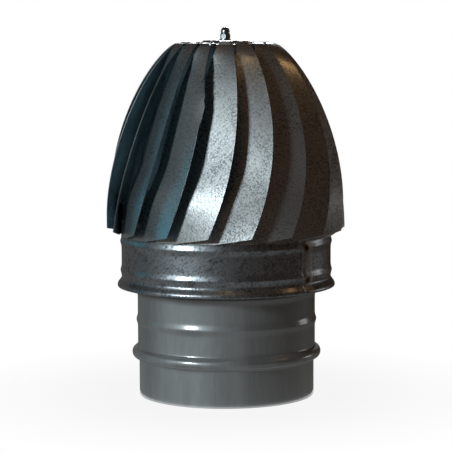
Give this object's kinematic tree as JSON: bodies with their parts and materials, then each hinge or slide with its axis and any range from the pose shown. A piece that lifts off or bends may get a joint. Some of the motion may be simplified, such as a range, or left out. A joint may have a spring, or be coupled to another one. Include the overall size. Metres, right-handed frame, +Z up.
{
  "type": "rotating chimney cap",
  "caption": "Wind-driven chimney cap: an onion-shaped head of twisted louvre blades on a collar turns on a hidden bearing spindle above a beaded plug-in spigot.",
  "frame": {"origin": "centre of the spigot's lower rim, which plugs down into the flue", "axes": "+Z up along the axis of rotation; -Y is the front, which the picture shows"},
  "size_m": [0.2024, 0.2018, 0.3112],
  "materials": {
    "galvanised_blade": "galvanised, fine spangle, satin",
    "galvanised_collar": "galvanised, fine spangle, semi-gloss",
    "spigot_sheet": "smooth galvanised, faint vertical rolling marks",
    "rivet_zinc": "zinc plated, dull",
    "fastener_zinc": "bright zinc plated",
    "spindle_steel": "turned",
    "spring_steel": "blued",
    "bearing_steel": "ground",
    "zinc_plated_steel": "zinc plated, satin",
    "cage_plastic": "moulded",
    "cap_plastic": "moulded, fine matt"
  },
  "bodies": {
    "base": {"spigot": "spigot_sheet", "bearing_spider": "zinc_plated_steel", "spider_rivets": "rivet_zinc", "hub_circlip": "spring_steel", "grease_cap": "spring_steel", "upper_outer_ring": "bearing_steel", "lower_outer_ring": "bearing_steel", "upper_shields": "spring_steel", "lower_shields": "spring_steel"},
    "upper_ball_set": {"upper_balls": "bearing_steel", "upper_cage": "cage_plastic"},
    "lower_ball_set": {"lower_balls": "bearing_steel", "lower_cage": "cage_plastic"},
    "head": {"collar": "galvanised_collar", "collar_spider": "zinc_plated_steel", "collar_rivets": "rivet_zinc", "set_screw": "spindle_steel", "top_plate": "galvanised_blade", "top_rivets": "rivet_zinc", "blade_rivets": "rivet_zinc", "blade_01": "galvanised_blade", "blade_02": "galvanised_blade", "blade_03": "galvanised_blade", "blade_04": "galvanised_blade", "blade_05": "galvanised_blade", "blade_06": "galvanised_blade", "blade_07": "galvanised_blade", "blade_08": "galvanised_blade", "blade_09": "galvanised_blade", "blade_10": "galvanised_blade", "blade_11": "galvanised_blade", "blade_12": "galvanised_blade", "blade_13": "galvanised_blade", "blade_14": "galvanised_blade", "blade_15": "galvanised_blade", "blade_16": "galvanised_blade", "blade_17": "galvanised_blade", "blade_18": "galvanised_blade", "spindle": "spindle_steel", "upper_circlip": "spring_steel", "lower_circlip": "spring_steel", "spacer_tube": "spindle_steel", "rain_cap": "cap_plastic", "jam_nut": "fastener_zinc", "inner_washer": "fastener_zinc", "top_washer": "fastener_zinc", "cap_nut": "fastener_zinc", "upper_inner_ring": "bearing_steel", "lower_inner_ring": "bearing_steel"}
  },
  "joints": [
    {"name": "head_spin", "type": "hinge", "parent": "base", "child": "head", "pos_m": [0, 0, 0.0885], "axis": [0, 0, 1], "continuous": true},
    {"name": "upper_ball_orbit", "type": "hinge", "parent": "base", "child": "upper_ball_set", "pos_m": [0, 0, 0.1105], "axis": [0, 0, 1], "continuous": true},
    {"name": "lower_ball_orbit", "type": "hinge", "parent": "base", "child": "lower_ball_set", "pos_m": [0, 0, 0.0695], "axis": [0, 0, 1], "continuous": true}
  ],
  "couplings": [
    {"joint": "upper_ball_orbit", "follows": "head_spin", "ratio": 0.3677},
    {"joint": "lower_ball_orbit", "follows": "head_spin", "ratio": 0.3677}
  ]
}
